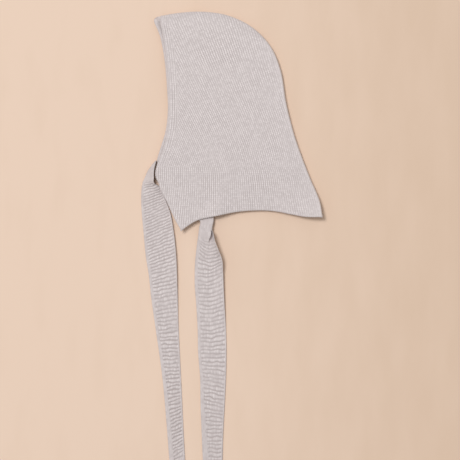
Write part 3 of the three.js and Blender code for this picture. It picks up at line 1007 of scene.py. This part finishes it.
# A row is the ridges at a height y: their pitch, how steeply they rise to the east in degrees, how
# far they sag in the middle, the width of the smooth selvedge, and how strongly they stand out
RIDGE_COLUMNS = ("height", "pitch", "rise", "sag", "strip", "strength")
RIDGES = {
    "lower": [
        (71.0, 3.1, 4, 0.0, 2.2, 0.0),
        (65.0, 3.1, 6, 0.0, 2.2, 0.8),
        (54.0, 3.1, 12, 0.0, 2.2, 1.0),
        (35.0, 3.2, 19, 0.0, 2.4, 1.0),
        (-1.0, 3.8, 20, 0.0, 2.4, 1.1),
        (-37.0, 4.2, 18, 0.0, 2.6, 1.1),
        (-73.0, 4.8, 13, 0.0, 3.2, 1.1),
        (-109.0, 4.7, 6, 0.0, 3.0, 1.1),
        (-145.0, 4.6, 0, 0.0, 3.2, 1.25),
        (-181.0, 4.5, 8, 0.0, 3.8, 1.4),
        (-217.0, 4.3, 24, 0.0, 4.4, 1.5),
        (-235.0, 4.3, 22, 0.0, 4.8, 1.5),
        (-253.0, 4.3, 30, 0.0, 5.0, 1.5),
        (-273.3, 4.3, 30, 0.0, 5.2, 1.5),
    ],
    "upper": [
        (2.0, 4.0, -15, 6.0, 3.6, 0.0),
        (-4.0, 4.0, -15, 9.0, 3.4, 0.6),
        (-12.0, 4.0, -17, 11.5, 3.2, 1.1),
        (-25.0, 4.3, -8, 11.0, 3.2, 1.2),
        (-33.0, 4.6, 2, 8.4, 3.2, 1.2),
        (-40.0, 4.6, 9, 7.0, 3.2, 1.2),
        (-61.0, 4.9, 7, 6.6, 3.4, 1.0),
        (-85.0, 4.9, 6, 5.6, 3.2, 1.0),
        (-109.0, 4.9, 7, 3.4, 3.0, 1.0),
        (-127.0, 4.9, 4, 1.6, 2.8, 1.0),
        (-157.0, 4.8, -5, 0.6, 3.0, 1.1),
        (-193.0, 4.7, -16, 0.0, 4.0, 1.1),
        (-229.0, 4.7, 0, 0.0, 5.4, 1.1),
        (-273.3, 4.7, 0, 0.0, 7.0, 1.1),
    ],
}
FLAP_CURVE = 2.0
FLAP_STEEPNESS = 0.25
RIDGE_STITCH = 1.9
RIDGE_WANDER = 0.34
RIDGE_WANDER_SIZE = 7.0
SAG_ROUND = 0.4
RIDGE_LINES = 8
RIDGE_DEPTH = 1.0
TIE_COLUMNS = 21
CREASE_GAP = 0.12
END_EASE = 14.0
EAST_STRIP = 1.0
STRIP_EASE = 1.4
THINNEST = 1.8
# Painted shade towards each tie's lower end: its most, the height where it starts, and how far it
# eases in
TIE_END_SHADE = {"upper": 0.75, "lower": 0.4}
END_SHADE_START = -130.0
END_SHADE_EASE = 120.0

# Shares of a tie's width: the most that a round edge takes, and the least west of the crease. The
# least east of it is so many round edges.
WIDEST_EDGE = 0.2
LEAST_CREASE = 0.25
CREASE_MARGIN = 1.6


def knit_tie(name, rows, ridges, end_shade):
    """A tie with its ridges as mesh lines across it, a plain underside and round edges."""
    table = smooth_line(rows)
    middle = (table[:, :2] + table[:, 2:4]) / 2
    lengths = lengths_along(middle)
    total = lengths[-1]
    values = dict(zip(SECTION_COLUMNS, table.T))
    ridges = dict(zip(RIDGE_COLUMNS, np.array(ridges).T))
    for column, readings in ridges.items():
        values[column] = np.interp(-middle[:, 1], -ridges["height"], readings)
    counts = np.concatenate([[0], np.cumsum(np.diff(lengths) / values["pitch"][1:])])

    def at(column, where):
        """A column's values at places along the tie."""
        return np.interp(where, lengths, values[column])

    ridge_places = np.interp(np.arange(0, counts[-1], 1 / RIDGE_LINES), counts, lengths)
    ridge_places = ridge_places[
        (ridge_places > EDGE_ROUND + EDGE_CLEARANCE)
        & (ridge_places < total - EDGE_ROUND - EDGE_CLEARANCE)
    ]
    rings = np.array([0, *EDGE_RINGS])
    places = np.concatenate([rings, ridge_places, total - rings[::-1]])

    def width_at(where):
        """How wide the tie is at places along it."""
        return np.hypot(
            at("east_x", where) - at("west_x", where), at("east_y", where) - at("west_y", where)
        )

    width = width_at(places)
    edge = np.minimum(rings[None] / width[:, None], WIDEST_EDGE)
    crease = np.clip(at("crease", places), LEAST_CREASE, 1 - CREASE_MARGIN * edge[:, -1])
    gap = CREASE_GAP / width
    west_part = np.linspace(edge[:, -1], crease - gap, TIE_COLUMNS, axis=1)[:, 1:]
    east_part = np.linspace(crease + gap, 1 - edge[:, -1], TIE_COLUMNS, axis=1)
    top_shares = np.hstack([edge, west_part, east_part, 1 - edge[:, -2::-1]])
    creases = np.stack([crease / 2, crease - gap, crease + gap, (1 + crease) / 2], 1)
    under_shares = np.hstack([edge[:, [0, -1]], creases, 1 - edge[:, [-1, 0]]])

    def surface(shares):
        """Top and underside at shares of the width, and how far along and how wide it is there."""
        ease = eased(np.minimum(places, total - places) / END_EASE)
        slope = np.tan(np.radians(at("rise", places)))
        vee = 0.5 - np.hypot(2 * shares - 1, SAG_ROUND)
        shift = -slope[:, None] * (shares - 0.5) * width[:, None]
        shift = (shift + at("sag", places)[:, None] * vee) * ease[:, None]
        where = np.clip(places[:, None] + shift, 0, total)
        plan_x = at("west_x", where) + (at("east_x", where) - at("west_x", where)) * shares
        plan_y = at("west_y", where) + (at("east_y", where) - at("west_y", where)) * shares
        bend = at("crease", where)
        west = np.clip(shares / bend, 0, 1)
        east = np.clip((shares - bend) / np.maximum(1 - bend, TINY), 0, 1)
        past = shares > crease[:, None]
        step_down = at("step_down", where)
        risen = east ** (FLAP_CURVE + FLAP_STEEPNESS * step_down)

        def heights(face, drop):
            """Heights of one face: straight to the crease, then down by a drop and curving up."""
            at_west, at_crease = at("west_" + face, where), at("crease_" + face, where)
            fallen = at_crease - drop
            curved = fallen + (at("east_" + face, where) - fallen) * risen
            return np.where(past, curved, at_west + (at_crease - at_west) * west)

        top = heights("top", step_down)
        under = heights("under", 0)
        under = np.maximum(np.minimum(under, top - THINNEST), 0)
        width_there = width_at(where)
        inset = np.minimum(shares, 1 - shares) * width_there
        inset = np.minimum(inset, np.minimum(where, total - where))
        share = np.clip(inset / EDGE_ROUND, 0, 1)
        openness = np.maximum(np.sqrt(1 - (1 - share) ** 2), LEAST_OPEN)
        centre = (top + under) / 2
        top = np.stack([plan_x, plan_y, centre + (top - centre) * openness], -1)
        under = np.stack([plan_x, plan_y, centre + (under - centre) * openness], -1)
        return top, under, where, width_there

    top_corners, _, where, width_there = surface(top_shares)
    from_west = top_shares * width_there
    from_east = (1 - top_shares) * width_there
    mask = eased((from_west - at("strip", where)) / STRIP_EASE)
    mask = mask * eased((from_east - EAST_STRIP) / STRIP_EASE)
    mask = mask * at("strength", where) * eased((total - where) / EDGE_ROUND / 2)
    wander = drift(top_corners[..., :2].reshape(-1, 2), RIDGE_WANDER_SIZE)
    ridge = np.interp(places, lengths, counts)[:, None]
    ridge = ridge + RIDGE_WANDER * wander.reshape(top_shares.shape)
    top_knit = np.stack([ridge, from_west / RIDGE_STITCH, mask], -1)

    _, under_corners, where, width_there = surface(under_shares)
    ridge = np.interp(where, lengths, counts)
    stitch = under_shares * width_there / RIB_PITCH
    under_knit = np.stack([ridge, stitch, np.zeros_like(ridge)], -1)

    top_number = np.arange(top_shares.size).reshape(top_shares.shape)
    under_number = top_number.size + np.arange(under_shares.size).reshape(under_shares.shape)

    def quads(grid):
        """The faces between the rows and columns of a grid of corners."""
        a, b, c, d = grid[:-1, :-1], grid[:-1, 1:], grid[1:, 1:], grid[1:, :-1]
        return np.stack([a, d, c, b], -1).reshape(-1, 4)

    west_rim = np.stack([top_number[:, 0], under_number[:, 0]], 1)
    east_rim = np.stack([under_number[:, -1], top_number[:, -1]], 1)
    faces = [
        *quads(top_number).tolist(),
        *quads(under_number[:, ::-1]).tolist(),
        *quads(west_rim[:, ::-1]).tolist(),
        *quads(east_rim[:, ::-1]).tolist(),
        [*top_number[0].tolist(), *under_number[0, ::-1].tolist()],
        [*top_number[-1, ::-1].tolist(), *under_number[-1].tolist()],
    ]
    top_corners = top_corners.reshape(-1, 3)
    corners = np.vstack([top_corners, under_corners.reshape(-1, 3)])
    mesh = bpy.data.meshes.new(name)
    mesh.from_pydata((corners * MM).tolist(), [], faces)
    mesh.shade_smooth()
    store(mesh, "knit", np.vstack([top_knit.reshape(-1, 3), under_knit.reshape(-1, 3)]))
    outward = outward_from(top_corners, quads(top_number))
    store(mesh, "outward", np.vstack([outward, np.zeros((under_number.size, 3))]))
    # Painted shade, darker towards the tie's lower end
    store(mesh, "painted_shading", end_shade * eased((END_SHADE_START - corners[:, 1]) / END_SHADE_EASE))
    return mesh


TIE_CREST = (0.79, 0.725, 0.718, 1)
# Painted shade between the ridges
TIE_GROOVE_SHADE = (0.46, 0.40, 0.39, 1)
TIE_DARKER = (0.64, 0.58, 0.575, 1)
tie_yarn = cotton_knit("cotton knit ridges", TIE_CREST, TIE_GROOVE_SHADE, TIE_DARKER)

for side, (flat, area) in TIE_FLATS.items():
    mesh = knit_tie("tie", TIES[side], RIDGES[side], TIE_END_SHADE[side])
    values = {"Depth": RIDGE_DEPTH * MM, "Stitch Share": STITCH_SHARE, "Yarn": tie_yarn}
    tie = finished_cloth(f"tie_knit_{side}", mesh, relief_tree, values)
    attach(tie, "root")
    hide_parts(f"tie_{side}")
